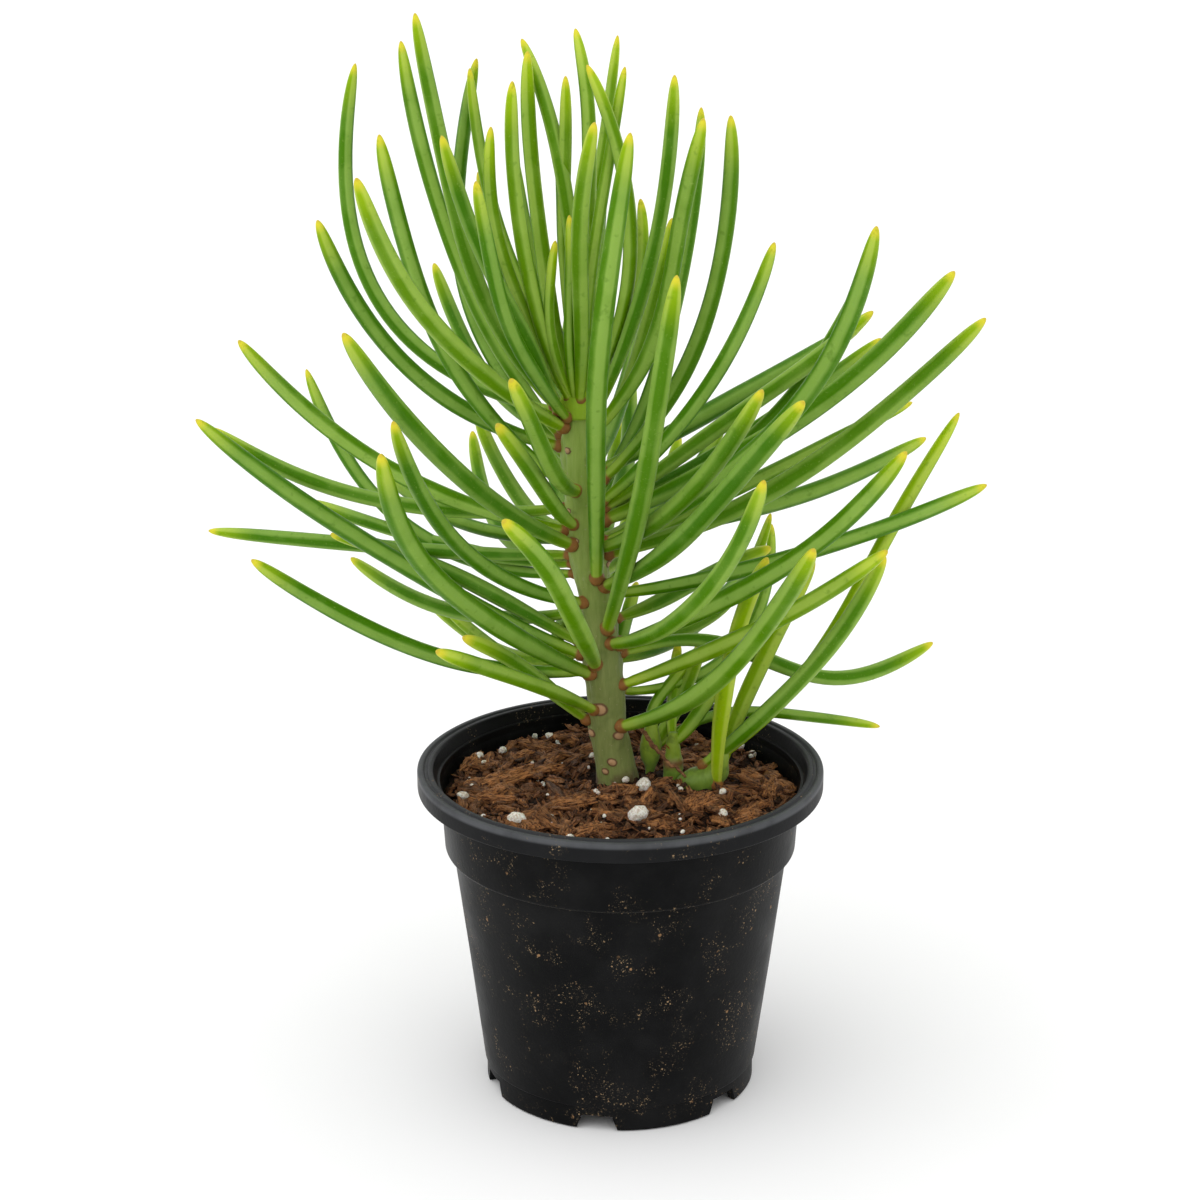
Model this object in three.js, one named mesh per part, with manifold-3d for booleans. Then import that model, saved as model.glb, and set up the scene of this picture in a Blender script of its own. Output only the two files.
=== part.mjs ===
// A potted finger-leaved senecio: a succulent with one upright stem and long, round, pointed
// leaves, in a round black plastic nursery pot with six drainage feet.
// Millimetres, +Z up. The lowest point is at z = 0, and the origin is under the middle of the
// whole plant's outline. Each mesh is one closed solid, and neighbours keep a gap of `clearance`.
import * as THREE from "three";
import { mergeVertices } from "three/addons/utils/BufferGeometryUtils.js";
import Module from "manifold-3d";

const wasm = await Module();
wasm.setup();

// ---------------------------------------------------------------- driving dimensions
const clearance = 0.45;        // gap between pieces that touch

const potHeight = 94.5;
const rimDiameter = 114;       // over the rolled rim
const wall = 1.2;              // moulded wall thickness
const rimWidth = 3.6;          // radial width of the rolled rim
const rimHeight = 5.6;         // how far the rolled rim hangs down outside
const rimGroove = 2.5;         // how far the hollow under the rim reaches up
const rimRounding = 1.6;
const rimDip = 0.9;            // how far the rim falls towards its inner edge
const rimEdge = 0.6;           // bevel along the rim's lower edge
const collarTopRadius = 50.6;  // straight band under the rim
const collarBottomRadius = 49.4;
const stepHeight = 71.3;       // where the band ends and the wall steps in
const stepDepth = 2.2;
const stepDrop = 0.8;          // height of the step's slope
const footRadius = 38.8;
const footHeight = 7;          // the foot ring below the wall
const footInset = 0.6;         // the foot ring stands this far in from the wall
const footLip = 0.4;           // height of the bevel above the foot ring
const footRingWidth = 2.4;
const baseHeight = 5;          // underside of the pot's floor
const floorRounding = 1;       // where the floor meets the wall inside
const footCount = 6;
const notchHeight = 4.4;       // the gaps between the feet
const notchTopWidth = 8.5;
const notchBottomWidth = 12.5;
const notchLength = 12;
const notchTurn = -100;        // direction of the first gap, in degrees from +X
const drainRadius = 3.5;
const drainCircle = 27;        // radius of the circle that the drain holes lie on
const potSegments = 48;
const drainSegments = 12;
const cutMargin = 1;           // a cut runs this far past the surface that it opens

const soilHeight = 86;         // surface of the potting mix at the wall
const soilMound = 1.2;         // rise of the surface towards the middle
const shoulder = { radius: 0.6, rise: 0.7 };  // a point on the mound, as shares of its size

const leafRings = 9;
const leafSides = 6;
const neckRatio = 0.5;         // a leaf's thickness at its foot, as a share of its girth
const tipTaper = { power: 7, fullness: 0.6 };  // a higher power gives a shorter point
const topReach = 2;            // a leaf's foot this far above a shoot grows out of its top
const domeHeight = 0.8;        // the growing tip's dome, as a share of its radius
const domeSegments = { around: 10, up: 6 };
const tipCrowding = 0.4;       // where the young leaves begin, as a share of the dome's radius

const twigRadius = 0.7;
const twigTaper = 0.4;         // how much of its thickness the twig loses
const twigRings = 8;
const twigSides = 6;

const finishes = {
  pot: { color: new THREE.Color(0.022, 0.023, 0.025), roughness: 0.5 },
  soil: { color: new THREE.Color(0.11, 0.05, 0.025), roughness: 0.95 },
  stem: { color: new THREE.Color(0.2, 0.27, 0.07), roughness: 0.6 },
  leaf: { color: new THREE.Color(0.1, 0.26, 0.03), roughness: 0.45 },
  youngLeaf: { color: new THREE.Color(0.28, 0.42, 0.04), roughness: 0.45 },
  twig: { color: new THREE.Color(0.2, 0.09, 0.05), roughness: 0.9 },
};

// The stems: points that each axis passes through, and the radii at its lower and upper end.
const stems = {
  main_stem: {
    points: [[-0.5, 9, 70], [-1, 9, 86], [-4, 8, 110], [-6, 7, 135], [-9.5, 6, 158], [-12, 4, 196]],
    radii: [5.8, 4.9],
    rings: 14,
    sides: 12,
  },
  side_shoot_1: {
    points: [[8, 12, 72], [8.5, 12, 86], [8.7, 12.2, 93]],
    radii: [1.5, 2.1],
    rings: 4,
    sides: 8,
  },
  side_shoot_2: {
    points: [[14.5, 7, 72], [15, 8, 86], [14.8, 8.3, 96]],
    radii: [2.7, 2.5],
    rings: 4,
    sides: 8,
  },
  side_shoot_3: {
    points: [[24, 3, 72], [23, 3, 86], [23.6, 2.5, 92]],
    radii: [4, 3],
    rings: 4,
    sides: 10,
  },
};

// The leaves of the main stem, one row each:
// [foot, turn, reach, rise, sag, swing, girth]
//   foot   height on the stem at which the leaf grows
//   turn   compass direction in which it grows, in degrees from +X towards +Y
//   reach  horizontal distance from the stem's axis to the tip
//   rise   height of the tip above the foot
//   sag    how far the middle hangs below the straight line from foot to tip
//   swing  how far the middle swings to the left of that line, seen from above
//   girth  thickness at the fattest place
const leafRows = {
  crown_leaf: [
    [195, 150, 70, 90, 30, 6, 4.4],
    [188, 144, 60, 103, 12, 0, 4.6],
    [198, 182, 42, 106, 9, 3, 4.4],
    [181, 128, 46, 105, 32, -1, 4.4],
    [193, 225, 77, 78, 10, -1, 5.4],
    [177, 199, 55, 98, 12, -2, 5.0],
    [186, 173, 71, 61, 14, 0, 4.8],
    [197, 215, 42, 79, 4, 2, 4.4],
    [196, 240, 50, 72, 9, 0, 4.2],
    [150, 285, 40, 129, 10, -6, 5.6],
    [198, 342, 27, 91, 7, -2, 4.2],
    [171, 50, 51, 101, 11, -2, 4.2],
    [192, 327, 39, 88, 8, 0, 4.8],
    [177, 350, 40, 101, 13, 4, 4.8],
    [135, 291, 55, 110, 10, -2, 5.6],
    [171, 343, 53, 75, 8, -3, 4.4],
  ],
  left_leaf: [
    [175, 253, 60, 45, 7, 2, 5.0],
    [162, 186, 93, 56, 11, -2, 5.0],
    [148, 148, 97, 46, 20, 3, 4.2],
    [159, 226, 87, 74, 8, 0, 5.6],
    [125, 180, 111, 68, 7, -4, 5.4],
    [168, 172, 104, 19, 10, 0, 4.4],
    [154, 163, 114, -3, 2, -2, 4.2],
    [128, 168, 78, 27, -3, 0, 4.6],
    [142, 231, 81, 68, 11, -6, 4.8],
    [121, 231, 89, 82, 12, -3, 6.0],
    [120, 188, 97, 37, 10, -1, 4.8],
    [137, 150, 83, 3, 9, 0, 4.4],
    [110, 235, 77, 38, 0, 1, 4.6],
    [124, 252, 81, 64, 3, 5, 5.6],
    [153, 117, 76, 18, 14, 5, 4.4],
    [165, 240, 45, 38, 4, 3, 4.6],
  ],
  right_leaf: [
    [178, 29, 91, 31, 2, 2, 5.4],
    [168, 8, 80, 53, 2, 0, 4.8],
    [159, 336, 82, 95, 16, 2, 5.4],
    [165, 354, 99, 72, 9, 0, 5.8],
    [155, 357, 107, 68, 10, 0, 5.4],
    [147, 306, 90, 71, 6, -1, 5.6],
    [158, 308, 73, 59, 8, -1, 5.2],
    [157, 27, 110, 17, 5, 1, 5.2],
    [129, 332, 90, 67, 8, 0, 5.4],
    [143, 1, 108, 31, 5, 1, 4.8],
    [130, 301, 80, 66, 11, 1, 5.2],
    [105, 308, 85, 72, 8, 4, 5.6],
    [117, 330, 86, 52, 4, 0, 4.8],
    [122, 56, 85, 9, 7, 0, 5.2],
    [125, 14, 98, -5, 4, -2, 4.6],
  ],
};

// The youngest leaves crowd round the top of the main stem and share one base, the growing tip.
// Their rows have no foot: [turn, reach, rise, sag, swing, girth].
const tipRows = [
  [134, 42, 84, 9, -1, 3.4],
  [212, 26, 76, 7, -1, 3.6],
  [118, 38, 62, 7, -2, 3.6],
  [222, 22, 88, 7, 0, 4.2],
  [131, 20, 91, 4, 1, 4.2],
  [100, 30, 65, 6, -1, 3.4],
  [122, 28, 93, -8, -2, 4.0],
  [285, 19, 78, 5, -3, 4.6],
  [91, 22, 96, -4, -4, 4.0],
  [340, 3, 90, 13, 0, 4.0],
  [104, 12, 85, 2, 1, 3.6],
  [73, 38, 92, 5, 3, 3.4],
  [9, 13, 89, -2, -1, 3.2],
  [252, 6, 51, 6, 1, 2.8],
  [240, 11, 45, 6, -1, 2.8],
  [56, 31, 49, 9, -2, 3.6],
];

// The leaves of the side shoots: the shoot's name, then a row as above. A foot above the
// shoot's end stands for a leaf that grows out of its top.
const shootRows = [
  ["side_shoot_1", 99, 42, 20, 28, 2, 0, 4.4],
  ["side_shoot_2", 99, 22, 16, 20, 1, 0, 4.4],
  ["side_shoot_3", 89, 322, 21, 70, -2, -2, 5.0],
  ["side_shoot_3", 89, 27, 35, 60, -1, 0, 4.8],
  ["side_shoot_3", 99, 352, 49, 64, 5, 1, 5.0],
];

// The dry twig leans from the main stem over the mix to the root of the third shoot.
const twigPoints = [[6.5, 4, 102.6], [9.7, 1, 99.4], [13.4, -2, 96.1], [18.2, -3, 92.5]];

// ---------------------------------------------------------------- solids and meshes
const vertical = new THREE.Vector3(0, 0, 1);
const radians = THREE.MathUtils.degToRad;

function solidOf(geometry) {
  const bare = geometry.clone();
  bare.deleteAttribute("normal");
  bare.deleteAttribute("uv");
  const merged = mergeVertices(bare, 1e-4);
  return new wasm.Manifold(new wasm.Mesh({
    numProp: 3,
    vertProperties: new Float32Array(merged.attributes.position.array),
    triVerts: new Uint32Array(merged.index.array),
  }));
}

function geometryOf(solid) {
  const mesh = solid.getMesh();
  const geometry = new THREE.BufferGeometry();
  geometry.setAttribute("position", new THREE.BufferAttribute(mesh.vertProperties, 3));
  geometry.setIndex(new THREE.BufferAttribute(mesh.triVerts, 1));
  return geometry;
}

function addPiece(parent, name, geometry, finish) {
  geometry.computeVertexNormals();
  const material = new THREE.MeshStandardMaterial({ ...finish, metalness: 0 });
  const piece = new THREE.Mesh(geometry, material);
  piece.name = name;
  parent.add(piece);
}

// Shares of a length, evenly spaced from 0 to 1.
function evenStations(rings) {
  return Array.from({ length: rings + 1 }, (_, ring) => ring / rings);
}

// A solid round body along a curve: a ring of `sides` points at each share of the length in
// `stations`, closed by a point at either end. `radiusAt` gives the radius at a share.
function roundBody(curve, radiusAt, stations, sides, aside) {
  const positions = [];
  const start = curve.getPoint(0);
  positions.push(start.x, start.y, start.z);
  for (const share of stations) {
    const centre = curve.getPoint(share);
    const along = curve.getTangent(share);
    const normal = along.clone().cross(aside).normalize();
    const across = normal.clone().cross(along);
    for (let side = 0; side < sides; side++) {
      const angle = (side / sides) * 2 * Math.PI;
      const point = centre.clone();
      point.addScaledVector(across, Math.cos(angle) * radiusAt(share));
      point.addScaledVector(normal, Math.sin(angle) * radiusAt(share));
      positions.push(point.x, point.y, point.z);
    }
  }
  const end = curve.getPoint(1);
  positions.push(end.x, end.y, end.z);

  const index = [];
  const last = 1 + stations.length * sides;
  for (let side = 0; side < sides; side++) {
    const next = (side + 1) % sides;
    index.push(0, 1 + next, 1 + side);
    for (let ring = 0; ring < stations.length - 1; ring++) {
      const low = 1 + ring * sides;
      const high = low + sides;
      index.push(low + side, low + next, high + next);
      index.push(low + side, high + next, high + side);
    }
    index.push(last - sides + side, last - sides + next, last);
  }
  const geometry = new THREE.BufferGeometry();
  geometry.setAttribute("position", new THREE.Float32BufferAttribute(positions, 3));
  geometry.setIndex(index);
  return geometry;
}

// ---------------------------------------------------------------- pot
// The inside of the wall from the rim down to the middle of the floor, moved in by `inset`.
function innerProfile(inset) {
  const belowStep = stepHeight - stepDrop;
  const corner = baseHeight + wall;
  return [
    [collarTopRadius - wall - inset, potHeight - rimHeight],
    [collarBottomRadius - wall - inset, stepHeight + inset],
    [lowerRadius(belowStep) - wall - inset, belowStep + inset],
    [footRadius - wall - inset, corner + floorRounding + inset],
    [footRadius - wall - floorRounding - inset, corner + inset],
    [0, corner + inset],
  ];
}

// The outer radius of the tapered wall below the step.
function lowerRadius(height) {
  const share = (height - footHeight) / (stepHeight - footHeight);
  return THREE.MathUtils.lerp(footRadius, collarBottomRadius - stepDepth, share);
}

function turned(profile) {
  const points = profile.map(([radius, height]) => new THREE.Vector2(radius, height));
  const lathe = new THREE.LatheGeometry(points, potSegments);
  lathe.rotateX(Math.PI / 2);
  return solidOf(lathe);
}

function potBody() {
  const rimRadius = rimDiameter / 2;
  const rimBottom = potHeight - rimHeight;
  const grooveTop = rimBottom + rimGroove;
  const footOuter = footRadius - footInset;
  const footInner = footOuter - footRingWidth;
  return turned([
    [0, baseHeight],
    [footInner, baseHeight],
    [footInner, 0],
    [footOuter, 0],
    [footOuter, footHeight - footLip],
    [footRadius, footHeight],
    [lowerRadius(stepHeight - stepDrop), stepHeight - stepDrop],
    [collarBottomRadius, stepHeight],
    [collarTopRadius, grooveTop],
    [rimRadius - wall, grooveTop],
    [rimRadius - wall, rimBottom],
    [rimRadius, rimBottom + rimEdge],
    [rimRadius, potHeight - rimRounding],
    [rimRadius - rimRounding * (1 - Math.SQRT1_2), potHeight - rimRounding * (1 - Math.SQRT1_2)],
    [rimRadius - rimRounding, potHeight],
    [rimRadius - rimWidth, potHeight - rimDip],
    ...innerProfile(0),
  ]);
}

// One gap between two feet: a trapezoid, wider at the bottom, that runs out through the ring.
function footGap(turn) {
  const outline = new THREE.Shape();
  outline.moveTo(-notchBottomWidth / 2, -cutMargin);
  outline.lineTo(notchBottomWidth / 2, -cutMargin);
  outline.lineTo(notchTopWidth / 2, notchHeight);
  outline.lineTo(-notchTopWidth / 2, notchHeight);
  outline.closePath();
  const gap = new THREE.ExtrudeGeometry(outline, { depth: notchLength, bevelEnabled: false });
  gap.rotateX(Math.PI / 2);
  gap.rotateZ(Math.PI / 2);
  gap.translate(footRadius - (notchLength * 2) / 3, 0, 0);
  gap.rotateZ(turn);
  return solidOf(gap);
}

function drainHole(turn) {
  const height = wall + 2 * cutMargin;
  const hole = new THREE.CylinderGeometry(drainRadius, drainRadius, height, drainSegments);
  hole.rotateX(Math.PI / 2);
  hole.translate(drainCircle * Math.cos(turn), drainCircle * Math.sin(turn), baseHeight + wall / 2);
  return solidOf(hole);
}

function makePot() {
  let pot = potBody();
  for (let foot = 0; foot < footCount; foot++) {
    const turn = radians(notchTurn + (foot * 360) / footCount);
    pot = pot.subtract(footGap(turn)).subtract(drainHole(turn));
  }
  return geometryOf(pot);
}

// ---------------------------------------------------------------- stems and potting mix
function stemCurve(name) {
  return new THREE.CatmullRomCurve3(stems[name].points.map((point) => new THREE.Vector3(...point)));
}

// The axis point and the radius of a stem at a height.
function stemAt(name, height) {
  const curve = stemCurve(name);
  let low = 0;
  let high = 1;
  while (high - low > 1e-5) {
    const middle = (low + high) / 2;
    if (curve.getPoint(middle).z < height) low = middle;
    else high = middle;
  }
  const [lowerRadius, upperRadius] = stems[name].radii;
  return { point: curve.getPoint(low), radius: THREE.MathUtils.lerp(lowerRadius, upperRadius, low) };
}

function stemBody(name, extra) {
  const { radii, rings, sides } = stems[name];
  const radiusAt = (share) => THREE.MathUtils.lerp(radii[0], radii[1], share) + extra;
  return roundBody(stemCurve(name), radiusAt, evenStations(rings), sides, new THREE.Vector3(0, 1, 0));
}

// The mix fills the pot up to its surface, and each stem stands in a socket of its own shape.
function makeSoil() {
  const [rim, collar, ...lower] = innerProfile(clearance);
  const share = (soilHeight - collar[1]) / (rim[1] - collar[1]);
  const edge = THREE.MathUtils.lerp(collar[0], rim[0], share);
  const surface = [
    [0, soilHeight + soilMound],
    [edge * shoulder.radius, soilHeight + soilMound * shoulder.rise],
    [edge, soilHeight],
  ];
  let soil = turned([...surface, collar, ...lower].reverse());
  for (const name of Object.keys(stems)) {
    const socket = stemBody(name, clearance);
    soil = soil.subtract(solidOf(socket));
    soil = soil.subtract(solidOf(socket.translate(0, 0, -clearance)));
  }
  return geometryOf(soil);
}

// ---------------------------------------------------------------- leaves
// Where a leaf's foot stands: the point that its row is measured from, and how far out from
// there the leaf begins.
function footOf(stem, height, neck) {
  const { points } = stems[stem];
  const top = new THREE.Vector3(...points[points.length - 1]);
  if (height > top.z + topReach) {
    return { base: top.addScaledVector(vertical, clearance + neck), offset: 0 };
  }
  const { point, radius } = stemAt(stem, Math.min(height, top.z));
  point.z = height;
  return { base: point, offset: radius + clearance };
}

// A leaf's middle line leaves its base level, sags, and climbs to the tip. It begins `offset`
// out from the base, and further out by the neck's own radius where it leaves steeply.
function leafCurve(base, offset, neck, [turn, reach, rise, sag, swing]) {
  const outward = new THREE.Vector3(Math.cos(radians(turn)), Math.sin(radians(turn)), 0);
  const aside = new THREE.Vector3(-outward.y, outward.x, 0);
  const tip = base.clone().addScaledVector(outward, reach).addScaledVector(vertical, rise);

  const chord = tip.clone().sub(base).normalize();
  const below = outward.clone().multiplyScalar(chord.dot(vertical));
  below.addScaledVector(vertical, -chord.dot(outward));
  const bend = base.clone().lerp(tip, 0.5);
  bend.addScaledVector(below, 2 * sag).addScaledVector(aside, 2 * swing);

  const steepness = Math.abs(bend.clone().sub(base).normalize().dot(vertical));
  const start = base.clone();
  if (offset > 0) start.addScaledVector(outward, offset + neck * steepness);
  return { curve: new THREE.QuadraticBezierCurve3(start, bend, tip), aside };
}

// Round in section, thin at the foot, fattest below the middle, drawn out to a point.
function leafRadius(girth, share) {
  const swell = THREE.MathUtils.smoothstep(share, -0.1, 0.4);
  const taper = (1 - share ** tipTaper.power) ** tipTaper.fullness;
  return (girth / 2) * THREE.MathUtils.lerp(neckRatio, 1, swell) * taper;
}

// `shape` is a leaf's row without its foot.
function leafBody(base, offset, shape) {
  const girth = shape[5];
  const { curve, aside } = leafCurve(base, offset, (girth * neckRatio) / 2, shape);
  const stations = evenStations(leafRings).slice(0, -1).map((share) => Math.sin((share * Math.PI) / 2));
  return roundBody(curve, (share) => leafRadius(girth, share), stations, leafSides, aside);
}

function leafOn(stem, [foot, ...shape]) {
  const { base, offset } = footOf(stem, foot, (shape[5] * neckRatio) / 2);
  return leafBody(base, offset, shape);
}

// A small dome on top of the main stem, joined to the youngest leaves.
function makeGrowingTip() {
  const { points, radii } = stems.main_stem;
  const radius = radii[1];
  const middle = new THREE.Vector3(...points[points.length - 1]);
  middle.z += clearance + radius * domeHeight;
  const dome = new THREE.SphereGeometry(radius, domeSegments.around, domeSegments.up);
  dome.rotateX(Math.PI / 2);
  dome.scale(1, 1, domeHeight);
  dome.translate(middle.x, middle.y, middle.z);
  let tip = solidOf(dome);
  for (const row of tipRows) {
    tip = tip.add(solidOf(leafBody(middle, radius * tipCrowding, row)));
  }
  return geometryOf(tip);
}

// ---------------------------------------------------------------- dry twig
function makeTwig() {
  const curve = new THREE.CatmullRomCurve3(twigPoints.map((point) => new THREE.Vector3(...point)));
  const radiusAt = (share) => twigRadius * (1 - twigTaper * share);
  return roundBody(curve, radiusAt, evenStations(twigRings), twigSides, new THREE.Vector3(0, 1, 0));
}

// ---------------------------------------------------------------- assembly
const plant = new THREE.Group();
addPiece(plant, "pot", makePot(), finishes.pot);
addPiece(plant, "soil", makeSoil(), finishes.soil);
for (const name of Object.keys(stems)) {
  addPiece(plant, name, stemBody(name, 0), finishes.stem);
}
addPiece(plant, "growing_tip", makeGrowingTip(), finishes.youngLeaf);
addPiece(plant, "dry_twig", makeTwig(), finishes.twig);
for (const [family, rows] of Object.entries(leafRows)) {
  rows.forEach((row, index) => {
    const name = `${family}_${String(index + 1).padStart(2, "0")}`;
    addPiece(plant, name, leafOn("main_stem", row), finishes.leaf);
  });
}
shootRows.forEach(([stem, ...row], index) => {
  addPiece(plant, `shoot_leaf_${index + 1}`, leafOn(stem, row), finishes.youngLeaf);
});

// The origin goes under the middle of the whole outline.
const outline = new THREE.Box3().setFromObject(plant);
const middle = outline.getCenter(new THREE.Vector3());
plant.position.set(-middle.x, -middle.y, 0);

export default plant;
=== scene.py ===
"""A potted finger-leaved senecio, built over its CAD frame.

Lengths in the tables are millimetres from the pot's axis at the height of the feet.
"""

import math

import bpy
import numpy as np
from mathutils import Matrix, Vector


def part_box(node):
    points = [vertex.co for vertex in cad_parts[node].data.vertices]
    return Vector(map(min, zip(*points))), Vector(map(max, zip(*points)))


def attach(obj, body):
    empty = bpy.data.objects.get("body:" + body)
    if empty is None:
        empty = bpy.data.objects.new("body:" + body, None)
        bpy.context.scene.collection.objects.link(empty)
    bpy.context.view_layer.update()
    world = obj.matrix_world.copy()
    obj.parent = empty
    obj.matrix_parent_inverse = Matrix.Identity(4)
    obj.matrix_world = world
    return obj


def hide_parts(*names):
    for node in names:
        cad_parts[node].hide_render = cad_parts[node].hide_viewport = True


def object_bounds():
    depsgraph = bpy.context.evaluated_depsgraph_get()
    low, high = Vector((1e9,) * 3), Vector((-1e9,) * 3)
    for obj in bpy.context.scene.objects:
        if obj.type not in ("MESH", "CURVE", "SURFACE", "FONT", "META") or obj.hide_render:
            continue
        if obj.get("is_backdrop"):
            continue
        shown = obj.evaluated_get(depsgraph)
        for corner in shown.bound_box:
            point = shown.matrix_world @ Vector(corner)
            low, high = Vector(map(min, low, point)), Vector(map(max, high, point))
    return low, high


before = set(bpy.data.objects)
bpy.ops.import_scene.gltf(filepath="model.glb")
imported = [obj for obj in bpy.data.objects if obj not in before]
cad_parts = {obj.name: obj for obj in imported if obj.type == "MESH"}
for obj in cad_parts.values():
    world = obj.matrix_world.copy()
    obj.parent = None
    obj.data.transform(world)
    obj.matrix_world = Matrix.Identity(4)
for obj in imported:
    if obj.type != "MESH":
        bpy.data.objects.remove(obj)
cad_low, cad_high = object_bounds()

MM = 0.001
pot_low, pot_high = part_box("pot")
AXIS = np.array([(pot_low.x + pot_high.x) / 2, (pot_low.y + pot_high.y) / 2, 0.0])
UP = np.array([0.0, 0.0, 1.0])

POT_HEIGHT = 94.5
RIM_RADIUS = 57.0
WALL = 1.2
COLLAR_TOP = 50.6
COLLAR_BOTTOM = 49.4
STEP_HEIGHT = 71.3
STEP_RADIUS = 47.2
FOOT_RADIUS = 38.8
FOOT_HEIGHT = 7.0
FLOOR_HEIGHT = 5.0
SOIL_HEIGHT = 86.0
CLEARANCE = 0.45


# ---------------------------------------------------------------- meshes
def place(points):
    """Millimetres from the pot's axis, as metres in the row frame."""
    return np.asarray(points, float) * MM + AXIS


def piece(name, points, faces, material, stands_for=(), attributes=None, sharp=None):
    """A mesh object of the plant, from points in millimetres."""
    mesh = bpy.data.meshes.new(name)
    mesh.from_pydata(place(points).tolist(), [], [tuple(int(i) for i in f) for f in faces])
    mesh.validate()
    for key, values in (attributes or {}).items():
        values = np.asarray(values, np.float32)
        if values.ndim == 1:
            mesh.attributes.new(key, "FLOAT", "POINT").data.foreach_set("value", values)
        else:
            mesh.attributes.new(key, "FLOAT_VECTOR", "POINT").data.foreach_set("vector", values.ravel())
    mesh.shade_smooth()
    if sharp is not None:
        mesh.set_sharp_from_angle(angle=math.radians(sharp))
    mesh.materials.append(material)
    made = bpy.data.objects.new(name, mesh)
    bpy.context.scene.collection.objects.link(made)
    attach(made, "root")
    if stands_for:
        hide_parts(*stands_for)
    return made


class Heap:
    """Several closed bodies gathered into one mesh."""

    def __init__(self):
        self.points, self.faces, self.values, self.count = [], [], {}, 0

    def add(self, points, faces, **values):
        points = np.asarray(points, float)
        self.points.append(points)
        self.faces.extend([[i + self.count for i in face] for face in faces])
        for key, value in values.items():
            value = np.asarray(value, float)
            if value.ndim == 0:
                value = np.full(len(points), float(value))
            self.values.setdefault(key, []).append(value)
        self.count += len(points)

    def piece(self, name, material, slot=None, stands_for=(), sharp=None):
        joined = {key: np.concatenate(value) for key, value in self.values.items()}
        points = np.concatenate(self.points)
        return piece(name, points, self.faces, material, stands_for, joined, sharp)


def smooth(low, high, value):
    share = np.clip((np.asarray(value, float) - low) / (high - low), 0, 1)
    return share * share * (3 - 2 * share)


def unit(v):
    v = np.asarray(v, float)
    return v / np.maximum(np.linalg.norm(v, axis=-1, keepdims=True), 1e-12)


def sweep(line, radii, sides, hint):
    """A closed round body along a line. radii is (rings,) or (rings, sides)."""
    line = np.asarray(line, float)
    radii = np.asarray(radii, float)
    if radii.ndim == 1:
        radii = np.repeat(radii[:, None], sides, axis=1)
    tangent = unit(np.gradient(line, axis=0))
    across = np.asarray(hint, float)
    rings = []
    angle = np.arange(sides) * 2 * math.pi / sides
    for here, along, radius in zip(line, tangent, radii):
        across = unit(across - along * (across @ along))
        other = np.cross(along, across)
        spoke = np.cos(angle)[:, None] * across + np.sin(angle)[:, None] * other
        rings.append(here + radius[:, None] * spoke)
    points = np.concatenate([[line[0]], *rings, [line[-1]]])
    faces = []
    last = len(points) - 1
    for side in range(sides):
        after = (side + 1) % sides
        faces.append((0, 1 + after, 1 + side))
        for ring in range(len(line) - 1):
            low = 1 + ring * sides
            faces.append((low + side, low + after, low + sides + after, low + sides + side))
        faces.append((last - sides + side, last - sides + after, last))
    return points, faces


def per_ring(values, sides):
    """One value for each ring of a sweep, as one for each of its points."""
    values = np.asarray(values, float)
    return np.concatenate([values[:1], np.repeat(values, sides), values[-1:]])


def wave(rng, places, rough=1.0):
    """A smooth random number for each place, about -1 to 1."""
    total = np.zeros(len(places))
    for octave in range(3):
        for _ in range(3):
            turn = rng.normal(size=3) * (2.0 ** octave) * rough
            total += np.sin(places @ turn + rng.uniform(0, 6.28)) / (1.6 ** octave) / 2.2
    return total


# ---------------------------------------------------------------- what the CAD says
STEM_PLACE = (-6.0, 7.0, 0.0)


def mean_reach(points, middle):
    return np.linalg.norm(points - middle, axis=1).mean()


def cad_rings(node):
    """The rings of a CAD leaf, in millimetres: middles and radii, from its foot."""
    raw = np.array([v.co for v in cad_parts[node].data.vertices], float)
    keys, index = np.unique(np.round(raw, 6), axis=0, return_inverse=True)
    index = index.ravel()
    near = [set() for _ in keys]
    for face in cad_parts[node].data.polygons:
        corners = [int(index[v]) for v in face.vertices]
        for a in corners:
            near[a].update(corners)
    points = (keys - AXIS) / MM
    far = np.linalg.norm((points - STEM_PLACE)[:, :2], axis=1) + points[:, 2] * 0.6
    for tip in np.argsort(-far):
        seen, level, levels = {int(tip)}, [int(tip)], []
        while level:
            levels.append(level)
            level = sorted({n for a in level for n in near[a]} - seen)
            seen.update(level)
        if len({len(level) for level in levels[1:-1]}) == 1 and len(levels[-1]) == 1:
            break
    levels.reverse()
    middles = np.array([points[level].mean(0) for level in levels])
    radii = np.array([mean_reach(points[level], m) for level, m in zip(levels, middles)])
    return middles, radii


def rings_along(node, gap):
    """The same for a nearly straight stem or twig, whose rings lie apart along its axis."""
    points = np.array([v.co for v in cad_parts[node].data.vertices], float)
    points = (np.unique(np.round(points, 6), axis=0) - AXIS) / MM
    axis = np.linalg.svd(points - points.mean(0), full_matrices=False)[2][0]
    along = points @ (axis if axis[2] > 0 else -axis)
    order = np.argsort(along)
    rings = np.split(points[order], np.flatnonzero(np.diff(along[order]) > gap) + 1)
    middles = np.array([ring.mean(0) for ring in rings])
    return middles, np.array([mean_reach(ring, m) for ring, m in zip(rings, middles)])


STEM_LINE, STEM_RADII = rings_along("main_stem", 1.5)


def stem_at(height):
    line, radii = STEM_LINE[1:-1], STEM_RADII[1:-1]
    x, y = (np.interp(height, line[:, 2], line[:, k]) for k in (0, 1))
    return np.array([x, y, height]), float(np.interp(height, line[:, 2], radii))


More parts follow.
